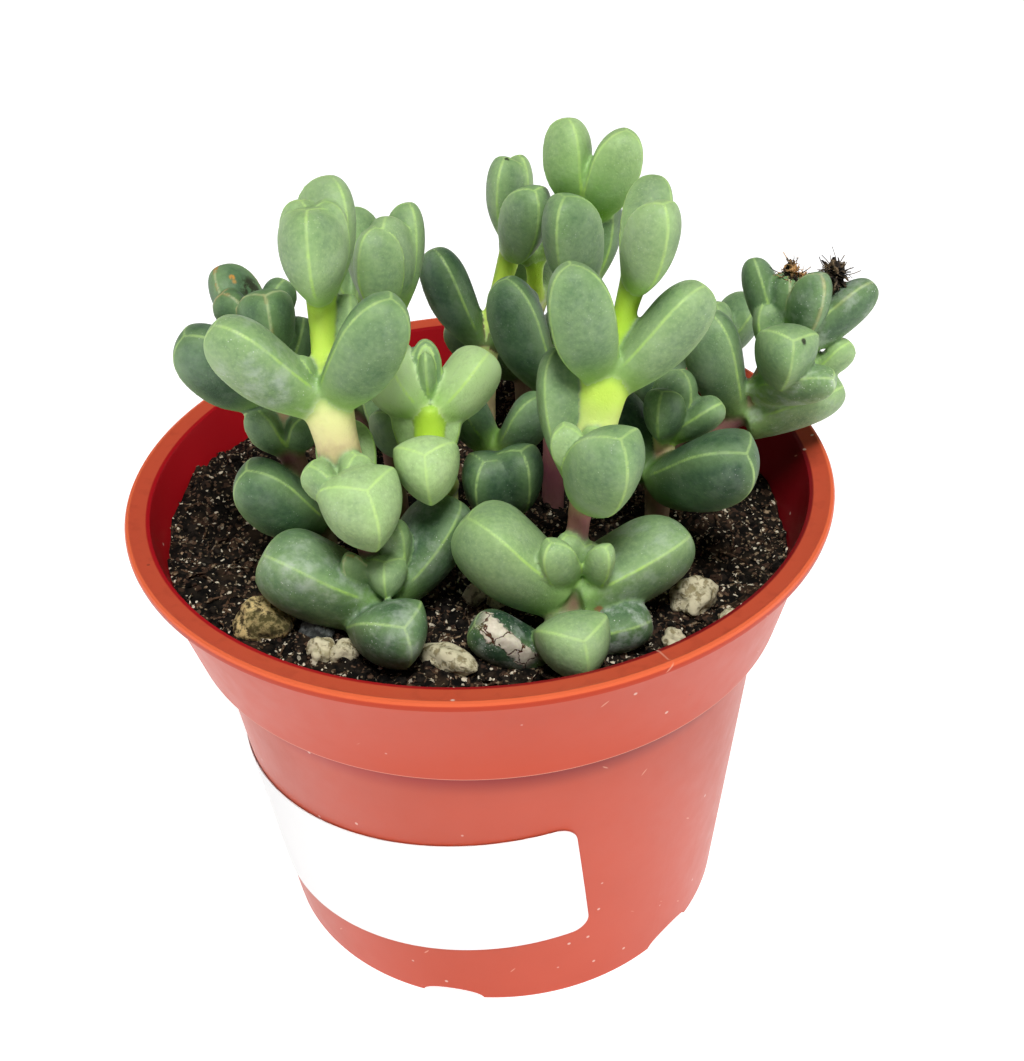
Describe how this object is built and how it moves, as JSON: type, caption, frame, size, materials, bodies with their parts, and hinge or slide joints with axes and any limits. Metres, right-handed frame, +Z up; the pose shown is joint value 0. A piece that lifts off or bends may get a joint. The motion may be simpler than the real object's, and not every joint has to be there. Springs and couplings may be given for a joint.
{
  "type": "potted ice plant",
  "caption": "Young ice plant with fat three-edged leaves in opposite pairs on short upright stems, growing in a round plastic nursery pot with a blank paper label.",
  "frame": {"origin": "centre of the pot's base, on the surface it stands on", "axes": "+Z up the pot's axis; -Y towards the front, where the paper label's right end is; +X to the right, where the longest shoot leans over the rim"},
  "size_m": [0.1111, 0.105, 0.1284],
  "materials": {
    "pot": "satin",
    "label": "matte",
    "soil": "matte",
    "stone": "matte",
    "perlite": "matte",
    "leaf": "satin",
    "withered": "matte"
  },
  "bodies": {
    "root": {"pot": "pot", "label": "label", "soil": "soil", "stone_brown": "stone", "perlite_left_rear": "perlite", "perlite_left": "perlite", "perlite_left_twin": "perlite", "perlite_front": "perlite", "perlite_right": "perlite", "perlite_right_small": "perlite", "perlite_right_chip": "perlite", "shoot_front_left": "leaf", "shoot_centre_front": "leaf", "shoot_left": "leaf", "shoot_centre_left": "leaf", "shoot_middle": "leaf", "shoot_right_rear": "leaf", "shoot_rear": "leaf", "shoot_right": "leaf", "shoot_right_low": "leaf", "shoot_right_back": "leaf", "shoot_middle_back": "leaf", "shoot_left_back": "leaf", "shoot_centre_low": "leaf", "bloom_right": "withered", "bloom_middle": "withered"}
  },
  "joints": []
}
